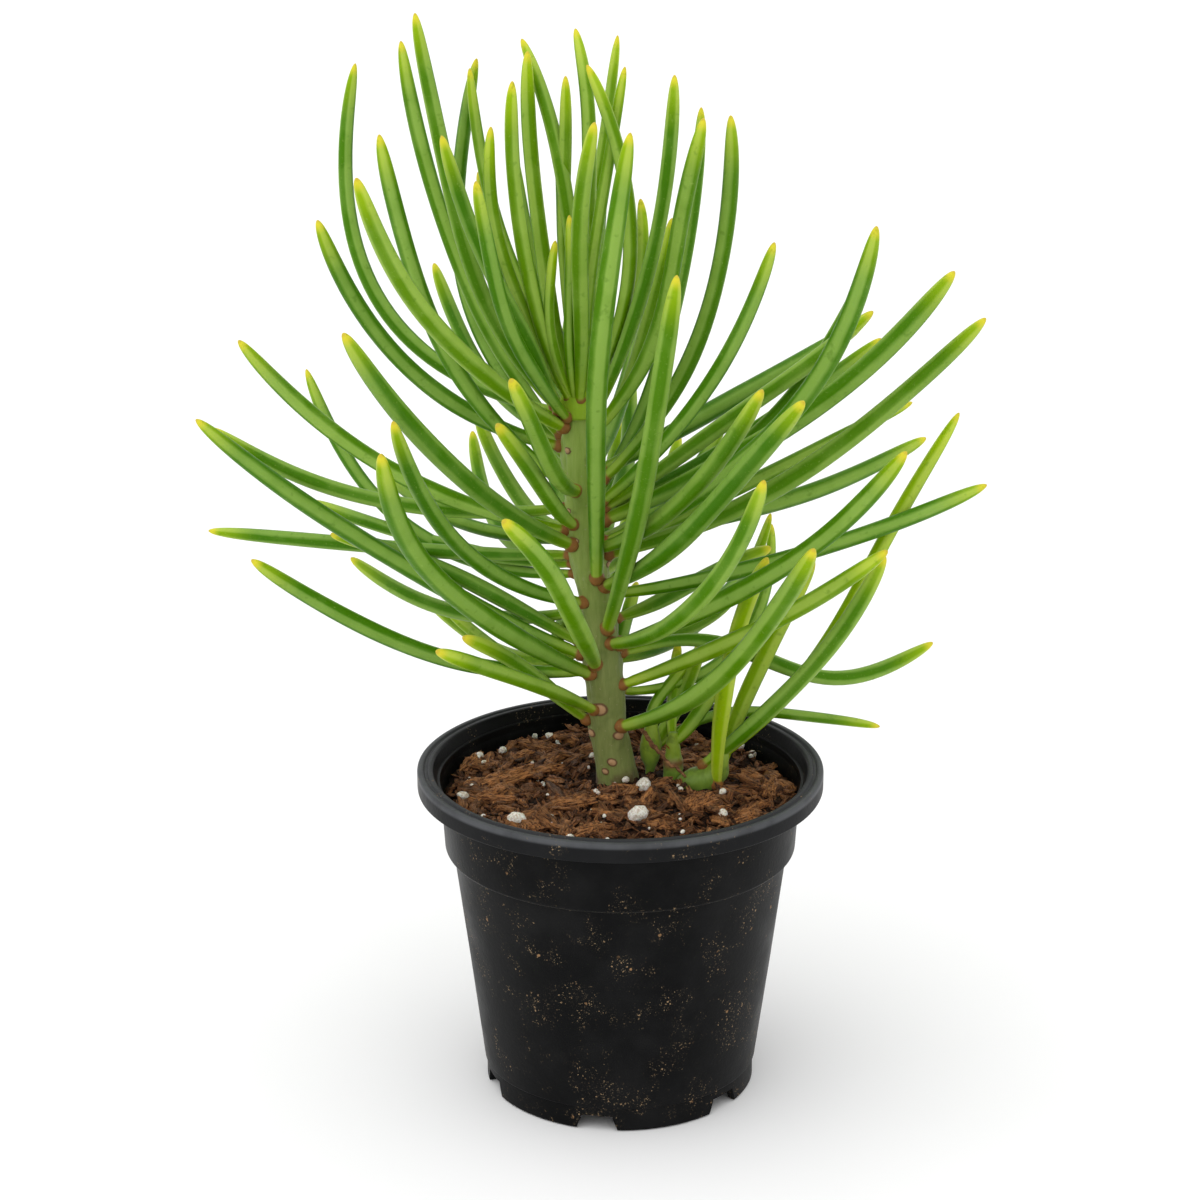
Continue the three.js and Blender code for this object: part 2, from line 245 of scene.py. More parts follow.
# ---------------------------------------------------------------- materials
class Look:
    """A node material. add() makes a node, sets its inputs and returns it."""

    def __init__(self, name, **constants):
        self.material = bpy.data.materials.new(name)
        self.material.use_nodes = True
        self.tree = self.material.node_tree
        self.shader = self.tree.nodes["Principled BSDF"]
        for key, value in constants.items():
            self.shader.inputs[key.replace("_", " ")].default_value = value

    def add(self, kind, inputs=None, **settings):
        node = self.tree.nodes.new("ShaderNode" + kind)
        for key, value in settings.items():
            setattr(node, key, value)
        for key, value in (inputs or {}).items():
            self.feed(node.inputs[key], value)
        return node

    def feed(self, socket, value):
        if isinstance(value, bpy.types.NodeSocket):
            self.tree.links.new(value, socket)
        else:
            socket.default_value = value

    def value(self, name):
        return self.add("Attribute", attribute_name=name).outputs["Fac"]

    def vector(self, name):
        return self.add("Attribute", attribute_name=name).outputs["Vector"]

    def place(self):
        return self.add("TexCoord").outputs["Object"]

    def noise(self, where, scale, detail=3.0, rough=0.55, output="Fac"):
        inputs = {"Vector": where, "Scale": scale, "Detail": detail, "Roughness": rough}
        return self.add("TexNoise", inputs).outputs[output]

    def ramp(self, value, low, high, start=0.0, end=1.0):
        inputs = {"Value": value, "From Min": low, "From Max": high, "To Min": start, "To Max": end}
        return self.add("MapRange", inputs, interpolation_type="SMOOTHSTEP").outputs["Result"]

    def maths(self, operation, a, b=0.0, clamp=False):
        node = self.add("Math", {0: a, 1: b}, operation=operation)
        node.use_clamp = clamp
        return node.outputs[0]

    def mix(self, share, first, second, blend="MIX"):
        node = self.add("Mix", data_type="RGBA", blend_type=blend)
        for key, value in ((0, share), (6, first), (7, second)):
            if isinstance(value, tuple):
                value = (*value, 1.0)
            self.feed(node.inputs[key], value)
        return node.outputs[2]

    def stretch(self, where, scale):
        return self.add("Mapping", {"Vector": where, "Scale": scale}).outputs["Vector"]

    def bump(self, height, strength, distance, normal=None):
        inputs = {"Height": height, "Strength": strength, "Distance": distance}
        if normal is not None:
            inputs["Normal"] = normal
        return self.add("Bump", inputs).outputs["Normal"]

    def finish(self, color, roughness, normal):
        self.feed(self.shader.inputs["Base Color"], color)
        self.feed(self.shader.inputs["Roughness"], roughness)
        if normal is not None:
            self.feed(self.shader.inputs["Normal"], normal)
        return self.material


def leaf_look():
    look = Look("leaf_skin", Subsurface_Weight=0.08, Subsurface_Scale=0.002,
                Specular_IOR_Level=0.1)
    look.shader.inputs["Subsurface Radius"].default_value = (0.6, 1.0, 0.05)
    where = look.place()
    stripe, tip, foot = look.value("stripe"), look.value("to_tip"), look.value("from_foot")
    tone, age = look.value("tone"), look.value("lime")
    cloud = look.noise(where, 90.0, 2.0)
    fine = look.noise(where, 1400.0, 3.0, 0.6)
    edge = look.maths("ADD", stripe, look.ramp(cloud, 0.3, 0.7, -0.2, 0.2), clamp=True)
    green = look.mix(edge, (0.25, 0.42, 0.07), (0.062, 0.195, 0.0002))
    green = look.mix(tone, green, (0.026, 0.11, 0.0002))
    lime = look.mix(edge, (0.48, 0.6, 0.06), (0.3, 0.47, 0.0008))
    fade = look.maths("MULTIPLY", look.ramp(tip, 17.0, 1.5), 0.75)
    young = look.maths("MULTIPLY", look.ramp(foot, 14.0, 1.0), 0.35)
    limeness = look.maths("ADD", look.maths("MAXIMUM", fade, young), age, clamp=True)
    color = look.mix(limeness, green, lime)
    color = look.mix(look.ramp(tip, 4.2, 0.8), color, (0.66, 0.6, 0.035))
    color = look.mix(look.maths("MULTIPLY", look.ramp(tip, 1.0, 0.2), 0.5), color, (0.5, 0.3, 0.05))
    scar = look.maths("ADD", foot, look.ramp(cloud, 0.3, 0.7, -0.6, 0.6))
    color = look.mix(look.ramp(scar, 1.9, 0.7), color, (0.27, 0.115, 0.035))
    color = look.mix(look.ramp(fine, 0.58, 0.8, 0.0, 0.3), color, (0.4, 0.52, 0.12))
    blotch = look.ramp(look.noise(where, 420.0, 2.0), 0.6, 0.76, 0.0, 0.35)
    color = look.mix(blotch, color, (0.05, 0.15, 0.002))
    rough = look.ramp(look.noise(where, 260.0), 0.25, 0.75, 0.34, 0.5)
    normal = look.bump(fine, 0.16, 0.0006)
    return look.finish(color, rough, look.bump(cloud, 0.15, 0.003, normal))


def stem_look():
    look = Look("stem_skin", Sheen_Weight=0.1, Specular_IOR_Level=0.35)
    where = look.place()
    height, scar, base = look.value("height"), look.value("scar"), look.value("soil_line")
    streaks = look.noise(look.stretch(where, (900.0, 900.0, 90.0)), 1.0, 4.0, 0.65)
    cloud = look.noise(where, 160.0, 3.0)
    low = look.mix(streaks, (0.1, 0.14, 0.022), (0.27, 0.3, 0.09))
    high = look.mix(streaks, (0.17, 0.27, 0.02), (0.34, 0.44, 0.1))
    color = look.mix(look.ramp(height, 112.0, 180.0), low, high)
    color = look.mix(look.ramp(cloud, 0.55, 0.75, 0.0, 0.5), color, (0.08, 0.12, 0.02))
    flecks = look.ramp(look.noise(where, 700.0, 2.0), 0.66, 0.74, 0.0, 0.7)
    color = look.mix(flecks, color, (0.36, 0.33, 0.16))
    color = look.mix(look.ramp(scar, 0.15, 0.45), color, (0.12, 0.055, 0.02))
    color = look.mix(look.ramp(scar, 0.5, 0.8), color, (0.46, 0.27, 0.13))
    dirty = look.maths("MULTIPLY", base, look.ramp(cloud, 0.35, 0.6))
    color = look.mix(dirty, color, (0.1, 0.055, 0.025))
    rough = look.ramp(cloud, 0.3, 0.7, 0.5, 0.7)
    return look.finish(color, rough, look.bump(streaks, 0.35, 0.0012))


def shoot_look():
    look = Look("shoot_skin", Sheen_Weight=0.12, Specular_IOR_Level=0.4)
    where = look.place()
    height, ring = look.value("height"), look.value("scar")
    streaks = look.noise(look.stretch(where, (700.0, 700.0, 120.0)), 1.0, 3.0, 0.6)
    cloud = look.noise(where, 240.0, 3.0)
    color = look.mix(streaks, (0.1, 0.19, 0.012), (0.22, 0.34, 0.04))
    color = look.mix(look.ramp(height, 90.0, 97.0, 0.0, 0.7), color, (0.3, 0.42, 0.02))
    color = look.mix(look.ramp(cloud, 0.55, 0.7, 0.0, 0.5), color, (0.07, 0.12, 0.01))
    color = look.mix(ring, color, (0.2, 0.1, 0.03))
    return look.finish(color, look.ramp(cloud, 0.3, 0.7, 0.4, 0.6), look.bump(streaks, 0.3, 0.001))


def twig_look():
    look = Look("dry_bark", Specular_IOR_Level=0.25)
    grain = look.noise(look.stretch(look.place(), (260.0, 900.0, 900.0)), 1.0, 4.0, 0.7)
    color = look.mix(look.ramp(grain, 0.3, 0.7), (0.07, 0.022, 0.008), (0.3, 0.15, 0.06))
    return look.finish(color, look.ramp(grain, 0.3, 0.7, 0.7, 0.9), look.bump(grain, 0.7, 0.0008))


# The specks of dried mix on the pot: cells per metre, how wide each is in its cell, the share of
# cells left bare, and the colour.
SPECKS = (
    (1500.0, 0.3, 0.6, (0.26, 0.19, 0.11)),
    (850.0, 0.26, 0.68, (0.3, 0.2, 0.11)),
    (330.0, 0.2, 0.8, (0.3, 0.17, 0.08)),
)
SPECK_WARP = 0.0011


def pot_look():
    look = Look("black_plastic", Specular_IOR_Level=0.06)
    where = look.place()
    height, radius = look.value("height"), look.value("radius")
    grit = look.noise(where, 2300.0, 2.0, 0.6)
    crowd = look.noise(where, 85.0, 4.0, 0.65)
    film = look.noise(where, 60.0, 4.0, 0.6)
    low = look.ramp(height, 90.0, 8.0, 0.0, 0.05)
    beside = look.maths("ABSOLUTE", look.maths("SUBTRACT", height, STEP_HEIGHT - 0.4))
    step = look.ramp(beside, 1.4, 0.1)
    crowd = look.maths("ADD", look.maths("ADD", crowd, low), look.maths("MULTIPLY", step, 0.1))
    color = look.mix(look.ramp(film, 0.35, 0.75), (0.003, 0.0031, 0.0033), (0.0085, 0.0085, 0.0087))
    # Painted highlight: the top band of the rim is made grey, lighter towards its top.
    rim = look.maths(
        "MULTIPLY", look.ramp(radius, RIM_RADIUS - 4.4, RIM_RADIUS - 3.4),
        look.ramp(height, POT_HEIGHT - 2.1, POT_HEIGHT - 0.6, 0.18, 1.0),
    )
    color = look.mix(rim, color, (0.034, 0.035, 0.038))
    # Painted highlight: a pale line along the outer top edge of the rim, broken by the film noise.
    lip_highlight = look.maths(
        "MULTIPLY", look.ramp(radius, RIM_RADIUS - 1.8, RIM_RADIUS - 0.9),
        look.ramp(height, POT_HEIGHT - 1.9, POT_HEIGHT - 0.9),
    )
    lip_highlight = look.maths("MULTIPLY", lip_highlight, look.ramp(film, 0.3, 0.6, 0.3, 0.9))
    color = look.mix(lip_highlight, color, (0.085, 0.088, 0.094))
    # Painted highlight: a pale, broken line along the ledge of the step, in a dusty tan.
    broken = look.ramp(look.noise(where, 300.0), 0.35, 0.6, 0.15, 0.7)
    line = look.maths("MULTIPLY", look.ramp(beside, 0.7, 0.1), broken)
    color = look.mix(line, color, (0.085, 0.078, 0.065))
    dust = look.maths("MULTIPLY", look.ramp(grit, 0.6, 0.7), look.ramp(crowd, 0.5, 0.72, 0.0, 0.6))
    color = look.mix(dust, color, (0.12, 0.095, 0.065))
    for scale, wide, share, tint in SPECKS:
        warp = look.noise(where, scale * 2.2, 2.0, 0.6, "Color")
        shift = look.mix(1.0, warp, (SPECK_WARP,) * 3, "MULTIPLY")
        bent = look.add("MixRGB", {0: 1.0, 1: where, 2: shift}, blend_type="ADD").outputs[0]
        bits = look.add("TexVoronoi", {"Vector": bent, "Scale": scale, "Randomness": 1.0})
        spot = look.ramp(bits.outputs["Distance"], wide, wide * 0.5)
        chosen = look.ramp(bits.outputs["Color"], share, share + 0.03)
        spot = look.maths("MULTIPLY", spot, look.maths("MULTIPLY", chosen, look.ramp(crowd, 0.52, 0.63)))
        color = look.mix(spot, color, tint)
    rough = look.ramp(film, 0.3, 0.7, 0.34, 0.48)
    return look.finish(color, rough, look.bump(look.noise(where, 900.0, 3.0), 0.1, 0.0006))


def bark_look(name, dark, light, scale):
    look = Look(name, Specular_IOR_Level=0.3)
    inner = look.vector("grain")
    tone = look.value("tone")
    fibre = look.noise(look.stretch(inner, (0.22, 1.5, 1.5)), scale, 5.0, 0.7)
    cloud = look.noise(inner, 0.5, 2.0)
    color = look.mix(look.ramp(fibre, 0.36, 0.64), dark, light)
    color = look.mix(look.ramp(cloud, 0.5, 0.7, 0.0, 0.6), color, (0.5, 0.24, 0.1))
    color = look.mix(tone, color, (0.014, 0.006, 0.004))
    return look.finish(color, look.ramp(fibre, 0.3, 0.7, 0.75, 0.5), look.bump(fibre, 1.0, 0.0014))


def soil_look():
    look = Look("potting_mix", Specular_IOR_Level=0.2)
    where = look.place()
    grain = look.noise(where, 520.0, 6.0, 0.7)
    lumps = look.noise(where, 170.0, 3.0)
    color = look.mix(look.ramp(grain, 0.35, 0.7), (0.004, 0.002, 0.0012), (0.06, 0.024, 0.01))
    color = look.mix(look.ramp(lumps, 0.5, 0.72, 0.0, 0.6), color, (0.11, 0.045, 0.018))
    return look.finish(color, look.ramp(grain, 0.3, 0.7, 0.95, 0.75), look.bump(grain, 1.0, 0.0022))


def perlite_look():
    look = Look("perlite", Specular_IOR_Level=0.3, Subsurface_Weight=0.1, Subsurface_Scale=0.001)
    where = look.place()
    pits = look.noise(where, 1500.0, 4.0, 0.65)
    stain = look.noise(where, 420.0, 3.0)
    color = look.mix(look.ramp(pits, 0.35, 0.6), (0.62, 0.52, 0.4), (0.95, 0.92, 0.85))
    color = look.mix(look.ramp(stain, 0.55, 0.75, 0.0, 0.6), color, (0.5, 0.36, 0.22))
    return look.finish(color, look.ramp(pits, 0.3, 0.7, 0.9, 0.75), look.bump(pits, 0.8, 0.0008))


LEAF = leaf_look()
STEM = stem_look()
SHOOT = shoot_look()
TWIG = twig_look()
POT = pot_look()
SOIL = soil_look()
CHIP = bark_look("bark_chip", (0.03, 0.009, 0.003), (0.66, 0.27, 0.085), 1.3)
CRUMB = bark_look("bark_crumb", (0.012, 0.004, 0.0015), (0.5, 0.19, 0.06), 2.2)
PERLITE = perlite_look()


# ---------------------------------------------------------------- leaves
LEAF_SIDES = 24
STATIONS = np.concatenate([
    np.linspace(0, 0.06, 7)[:-1],
    np.linspace(0.06, 0.84, 27)[:-1],
    1 - 0.16 * (1 - np.linspace(0, 1, 14)) ** 1.7,
])


def leaf_line(base, offset, neck, turn, reach, rise, sag, swing):
    """The start, bend and tip of a leaf's middle line, as the CAD lays it."""
    turn = math.radians(turn)
    outward = np.array([math.cos(turn), math.sin(turn), 0.0])
    aside = np.array([-outward[1], outward[0], 0.0])
    tip = base + outward * reach + UP * rise
    chord = unit(tip - base)
    below = outward * chord[2] - UP * (chord @ outward)
    bend = (base + tip) / 2 + below * 2 * sag + aside * 2 * swing
    start = np.array(base, float)
    if offset > 0:
        start = start + outward * (offset + neck * abs(unit(bend - base)[2]))
    return start, bend, tip


def leaf_of_cad(node):
    """The same three points and the girth, read from a CAD leaf."""
    middles, radii = cad_rings(node)
    start, tip = middles[0], middles[-1]
    shares = np.array([math.sin(ring / 9 * math.pi / 2) for ring in range(1, 9)])
    rings = middles[-1 - len(shares):-1]
    weight = 2 * shares * (1 - shares)
    rest = rings - np.outer((1 - shares) ** 2, start) - np.outer(shares ** 2, tip)
    bend = (rest * weight[:, None]).sum(0) / (weight ** 2).sum()
    return start, bend, tip, float(radii.max()) * 2


def leaf_body(seed, start, bend, tip, girth, curl=0.0, sunk=1.7):
    """A fleshy leaf: a joint in the stem, a thin neck, a long swell and a drawn-out tip."""
    rng = np.random.default_rng(seed)
    u = STATIONS[:, None]
    line = (1 - u) ** 2 * start + 2 * u * (1 - u) * bend + u ** 2 * tip
    aside = unit(np.cross(tip - start, UP) + 1e-6)
    below = np.cross(aside, unit(tip - start))
    below = below if below[2] < 0 else -below
    length = float(np.linalg.norm(np.diff(line, axis=0), axis=1).sum())
    sway = rng.normal(0, 0.006, 4) * length
    line = line + below * (curl + sway[0]) * np.sin(2 * math.pi * u)
    line = line + aside * (sway[1] * np.sin(2 * math.pi * u) + sway[2] * 0.5 * np.sin(3 * math.pi * u))
    steps = np.linalg.norm(np.diff(line, axis=0), axis=1)
    gone = np.concatenate([[0], np.cumsum(steps)])
    inward = unit(line[1] - line[0])
    line = np.concatenate([[line[0] - inward * sunk, line[0] - inward * sunk * 0.45], line])
    gone = np.concatenate([[-sunk, -sunk * 0.45], gone])
    share = np.clip(gone / gone[-1], 0, 1)
    swell = 0.58 + 0.45 * smooth(-0.1, 0.4, share)
    taper = np.maximum(1 - share ** 15, 0) ** 0.52 * (1 - 0.1 * share)
    radius = girth / 2 * swell * taper
    radius *= 1 + 0.025 * np.sin(share * rng.uniform(9, 15) + rng.uniform(0, 6)) * (share < 0.97)
    radius *= 1 + 0.3 * np.exp(-((gone + 0.2) / 0.7) ** 2) - 0.1 * np.exp(-((gone - 1.6) / 1.1) ** 2)
    radius[-1] = 0.05
    angle = np.arange(LEAF_SIDES) * 2 * math.pi / LEAF_SIDES
    phase = rng.uniform(0, 6.28) + share * rng.uniform(-0.5, 0.5)
    wrap = angle[None, :] - phase[:, None]
    stripe = smooth(-0.5, 0.6, np.cos(3 * wrap))
    oval = 1 + 0.03 * np.cos(2 * (angle + rng.uniform(0, 6)))
    section = radius[:, None] * (1 - 0.035 * (stripe - 0.5)) * oval
    points, faces = sweep(line, section, LEAF_SIDES, aside)
    stripes = np.concatenate([[0.5], stripe.ravel(), [0.5]])
    values = {
        "stripe": stripes,
        "to_tip": per_ring(gone[-1] - gone, LEAF_SIDES),
        "from_foot": per_ring(gone, LEAF_SIDES),
    }
    return points, faces, values


def tones(seed, lime=0.0, spread=0.34):
    rng = np.random.default_rng(seed + 5000)
    return {"tone": rng.uniform(0, spread), "lime": max(0.0, lime + rng.uniform(-0.06, 0.1))}


# How lime-yellow a leaf is, where it isn't plain green.
LIME = {
    "shoot_leaf_1": 0.1, "shoot_leaf_3": 0.95, "shoot_leaf_4": 0.6, "shoot_leaf_5": 0.05,
    "right_leaf_13": 0.3, "left_leaf_13": 0.15, "crown_leaf_05": 0.2, "left_leaf_14": 0.1,
}
CURL = {"right_leaf_15": -5.9}

cad_leaves = sorted(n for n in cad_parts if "_leaf_" in n)
for number, node in enumerate(cad_leaves):
    start, bend, tip, girth = leaf_of_cad(node)
    heap = Heap()
    points, faces, values = leaf_body(number + 1, start, bend, tip, girth, CURL.get(node, 0.0))
    heap.add(points, faces, **values, **tones(number, LIME.get(node, 0.0)))
    heap.piece("fine_" + node, LEAF, "young_leaf" if node.startswith("shoot") else "leaf", [node])

# The youngest leaves: turn, reach, rise, sag, swing, girth.
TIP_ROWS = [
    (134, 42, 84, 9, -1, 3.4), (212, 26, 76, 7, -1, 3.6), (118, 38, 62, 7, -2, 3.6),
    (222, 22, 88, 7, 0, 4.2), (131, 20, 91, 4, 1, 4.2), (100, 30, 65, 6, -1, 3.4),
    (122, 28, 93, -8, -2, 4.0), (285, 19, 78, 5, -3, 4.6), (91, 22, 96, -4, -4, 4.0),
    (340, 3, 90, 13, 0, 4.0), (104, 12, 85, 2, 1, 3.6), (73, 38, 92, 5, 3, 3.4),
    (9, 13, 89, -2, -1, 3.2), (252, 6, 51, 6, 1, 2.8), (240, 11, 45, 6, -1, 2.8),
    (56, 31, 49, 9, -2, 3.6),
]
crown_base = STEM_LINE[-1] + UP * (CLEARANCE + STEM_RADII[-2] * 0.8)
heap = Heap()
for number, (*shape, girth) in enumerate(TIP_ROWS):
    line = leaf_line(crown_base, STEM_RADII[-2] * 0.4, girth / 4, *shape)
    points, faces, values = leaf_body(100 + number, *line, girth, sunk=3.5)
    heap.add(points, faces, **values, **tones(100 + number, 0.16, 0.2))
dome_line = crown_base + np.outer(np.linspace(-5.5, 3.0, 12), UP)
dome_share = np.linspace(0, 1, 12)
dome_radius = 4.9 * np.sqrt(np.maximum(1 - dome_share ** 3, 0.002))
points, faces = sweep(dome_line, dome_radius, LEAF_SIDES, (1, 0, 0))
flat = np.full(len(points), 0.5)
heap.add(points, faces, stripe=flat, to_tip=flat * 40, from_foot=flat * 20, tone=0.1, lime=0.5)
heap.piece("fine_growing_tip", LEAF, "young_leaf", ["growing_tip"])

# Smaller leaves that the CAD leaves out: foot, turn, reach, rise, sag, swing, girth, curl, lime.
# The last dozen fill the side away from the lamp-lit front.
SMALL_LEAVES = [
    (151, 152, 92, 6, 4, -1, 4.0, 0, 0.0),
    (106, 197, 42, 28, -1, 0, 4.4, 0, 0.1),
    (161, 124, 56, 21, 9, 1, 4.4, 0, 0.0),
    (186, 128, 68, 39, 9, 2, 4.2, 0, 0.0),
    (194, 133, 41, 62, 8, 0, 3.8, 0, 0.1),
    (158, 137, 85, 5, 7, 0, 4.0, 0, 0.1),
    (125, 134, 76, -1, 9, 1, 4.0, 0, 0.3),
    (120, 137, 65, 5, 8, 0, 3.6, 0, 0.2),
    (136, 116, 32, -28, -8, 0, 4.2, 0, 0.0),
    (153, 24, 101, 34, 1, 3, 4.2, 0, 0.2),
    (112, 48, 73, 34, 14, -10, 3.6, 0, 0.1),
    (128, 41, 65, 25, 12, -5, 3.4, 0, 0.1),
    (158, 49, 61, 24, 8, 0, 4.2, 0, 0.0),
    (147, 67, 65, 25, 8, -1, 4.4, 0, 0.1),
    (135, 25, 54, 14, 1, 1, 4.6, 0, 0.0),
    (165, 10, 79, 68, 14, 0, 4.6, 0, 0.0),
    (188, 57, 47, 53, 9, 0, 4.0, 0, 0.1),
    (192, 60, 34, 45, 8, 1, 3.8, 0, 0.1),
    (168, 19, 88, 41, 6, 3, 4.2, 0, 0.0),
    (188, 84, 58, 66, 14, 2, 4.6, 0, 0.0),
    (181, 104, 66, 50, 14, -3, 4.8, 0, 0.0),
    (176, 72, 72, 47, 14, 3, 4.8, 0, 0.0),
    (169, 93, 72, 40, 13, 2, 4.8, 0, 0.0),
    (160, 80, 72, 30, 12, -3, 5.0, 0, 0.0),
    (151, 98, 71, 25, 10, 3, 4.8, 0, 0.0),
    (143, 84, 72, 30, 12, 2, 5.0, 0, 0.0),
    (134, 97, 70, 28, 10, -2, 4.8, 0, 0.0),
    (126, 82, 70, 24, 9, 2, 4.6, 0, 0.05),
    (117, 92, 66, 22, 8, -2, 4.4, 0, 0.1),
    (109, 80, 52, 20, 6, 2, 4.2, 0, 0.1),
]
for number, (foot, *shape, girth, curl, lime) in enumerate(SMALL_LEAVES):
    base, radius = stem_at(foot)
    line = leaf_line(base, radius + CLEARANCE, girth / 4, *shape)
    heap = Heap()
    points, faces, values = leaf_body(200 + number, *line, girth, curl)
    heap.add(points, faces, **values, **tones(200 + number, lime))
    heap.piece(f"small_leaf_{number + 1:02d}", LEAF, "leaf")

# More leaves of the side shoots: shoot, then the row as above, from the shoot's top.
SHOOT_LEAVES = [
    ("side_shoot_3", 11, 71, 99, 7, 0, 4.4, 2.8, 0.75),
    ("side_shoot_1", 15, 69, 0, -7, 3, 3.3, -1.7, 0.1),
    ("side_shoot_1", 46, 19, 25, -5, 1, 3.3, -1.8, 0.1),
    ("side_shoot_2", 84, 18, 24, 2, 1, 3.4, 0, 0.2),
]
for number, (shoot, *shape, girth, curl, lime) in enumerate(SHOOT_LEAVES):
    top = cad_rings(shoot)[0][-1]
    line = leaf_line(top + UP * 1.5, 0.6, girth / 4, *shape)
    heap = Heap()
    points, faces, values = leaf_body(300 + number, *line, girth, curl)
    heap.add(points, faces, **values, **tones(300 + number, lime, 0.15))
    heap.piece(f"small_shoot_leaf_{number + 1}", LEAF, "young_leaf")


# ---------------------------------------------------------------- main stem
# Where leaves have dropped: height, turn, width of the scar.
SCARS = [
    (110, 250, 3.4), (102, 210, 2.4), (102, 300, 2.6), (130, 305, 1.8), (142, 220, 1.6), (124, 185, 1.8),
    (186, 230, 1.8), (184, 340, 1.8), (180, 320, 1.6), (170, 330, 1.6), (168, 210, 1.6), (160, 240, 1.6),
    (156, 0, 2.2), (152, 350, 1.6), (141, 0, 2.0), (138, 350, 1.8), (126, 0, 2.0), (116, 0, 2.6),
    (94, 265, 2.2), (91, 240, 1.8), (119, 200, 2.2), (100, 120, 2.6), (112, 60, 2.4), (95, 30, 2.0),
    (127, 140, 2.2), (139, 95, 2.0), (150, 60, 2.0), (163, 130, 1.8), (175, 80, 1.8), (105, 160, 2.2),
]
STEM_SIDES = 72
heights = np.linspace(82, STEM_LINE[-1][2], 190)
stem_line = np.array([stem_at(h)[0] for h in heights])
stem_line[:, :2] += 0.25 * np.stack([np.sin(heights * 0.23), np.cos(heights * 0.19)], 1)
stem_radius = np.array([stem_at(h)[1] for h in heights])
stem_radius = stem_radius + 1.3 * np.exp(-np.clip(heights - 85, 0, None) / 5.0)
points, faces = sweep(stem_line, stem_radius, STEM_SIDES, (0.0, 1.0, 0.0))
middles = np.concatenate([stem_line[:1], np.repeat(stem_line, STEM_SIDES, axis=0), stem_line[-1:]])
outward = points - middles
turn = np.arctan2(outward[:, 1], outward[:, 0])
ring_radius = per_ring(stem_radius, STEM_SIDES)
rng = np.random.default_rng(11)
push = 0.16 * wave(rng, points * 0.35) + 0.1 * wave(rng, points * np.array([1.2, 1.2, 0.12]))
cushion = np.zeros(len(points))
scar = np.zeros(len(points))


def around(angle, degrees):
    return (angle - math.radians(degrees) + math.pi) % (2 * math.pi) - math.pi


feet = [leaf_of_cad(n)[0] for n in cad_leaves if not n.startswith("shoot")]
feet += [leaf_line(*[stem_at(r[0])[0], stem_at(r[0])[1], 1.0], *r[1:6])[0] for r in SMALL_LEAVES]
for foot in feet:
    middle, radius = stem_at(min(foot[2], heights[-1]))
    facing = math.degrees(math.atan2(foot[1] - middle[1], foot[0] - middle[0]))
    side = around(turn, facing) * ring_radius
    rise = points[:, 2] - foot[2]
    width = np.where(rise < 0, 5.5, 2.0)
    cushion = np.maximum(cushion, 0.7 * np.exp(-(side / 2.0) ** 2 - (rise / width) ** 2))
push += cushion - 0.3
for height, facing, size in SCARS:
    side = around(turn, facing) * ring_radius
    rise = points[:, 2] - height
    near = np.sqrt((side / (size * 0.6)) ** 2 + (rise / (size * 0.48)) ** 2)
    mark = np.where(near < 1.35, np.clip(1.5 - near, 0, 1), 0)
    scar = np.maximum(scar, mark)
    push += 0.5 * np.exp(-near ** 2 * 0.6) - 0.22 * np.exp(-((near - 1.15) / 0.2) ** 2)
reach = np.linalg.norm(outward, axis=1)
inside = reach > 1e-6
points[inside] += unit(outward[inside]) * push[inside, None]
piece(
    "fine_main_stem", points, faces, STEM, ["main_stem"],
    {"height": points[:, 2], "scar": scar, "soil_line": smooth(93, 87, points[:, 2])},
)

# ---------------------------------------------------------------- side shoots
# Each shoot: its line through the mix and up, in millimetres, the radius there, and how much of
# it is a brown node ring. The third lies on the mix like an elbow.
SHOOTS = {
    "side_shoot_1": [
        (8.0, 12, 82, 1.3, 0), (8.4, 12, 86, 1.3, 0.2), (8.6, 12, 89, 1.5, 0),
        (8.6, 12.1, 92, 2.6, 0), (8.7, 12.2, 96, 2.9, 0), (8.8, 12.3, 100, 2.2, 0),
        (8.9, 12.4, 104, 0.9, 0),
    ],
    "side_shoot_2": [
        (14.7, 7.5, 82, 2.6, 0), (15, 7.8, 86, 2.7, 0), (15.1, 8, 90, 2.7, 0),
        (15, 8.1, 92.4, 2.9, 1), (14.9, 8.2, 94.5, 2.2, 0), (14.9, 8.3, 98, 1.9, 0),
        (14.9, 8.3, 101, 1.2, 0),
    ],
    "side_shoot_3": [
        (16.0, 4.4, 85.0, 1.6, 0.5), (18.2, 3.9, 86.6, 3.1, 0.1), (21.2, 3.2, 88.0, 4.2, 0),
        (24.6, 2.6, 89.4, 4.2, 0), (27.0, 2.2, 91.8, 3.4, 0), (28.2, 2.0, 95.0, 2.5, 0),
        (28.6, 2.0, 98.0, 1.4, 0),
    ],
}
SHOOT_SIDES = 40
for number, (shoot, knots) in enumerate(SHOOTS.items()):
    knots = np.array(knots, float)
    across = np.linspace(0, len(knots) - 1, 60)
    k = np.clip(across.astype(int), 0, len(knots) - 2)
    t = (across - k)[:, None]
    before, here = knots[np.maximum(k - 1, 0)], knots[k]
    after, beyond = knots[k + 1], knots[np.minimum(k + 2, len(knots) - 1)]
    path = 0.5 * (2 * here + (after - before) * t + (2 * before - 5 * here + 4 * after - beyond) * t ** 2
                  + (3 * here - before - 3 * after + beyond) * t ** 3)
    line, radius, ring = path[:, :3], np.maximum(path[:, 3], 0.3), np.clip(path[:, 4], 0, 1)
    points, faces = sweep(line, radius, SHOOT_SIDES, (0.0, 1.0, 0.0))
    rng = np.random.default_rng(30 + number)
    middle = np.concatenate([line[:1], np.repeat(line, SHOOT_SIDES, axis=0), line[-1:]])
    points += unit(points - middle) * (0.16 * wave(rng, points * 0.7))[:, None]
    piece("fine_" + shoot, points, faces, SHOOT, [shoot],
          {"height": points[:, 2], "scar": per_ring(ring, SHOOT_SIDES)})

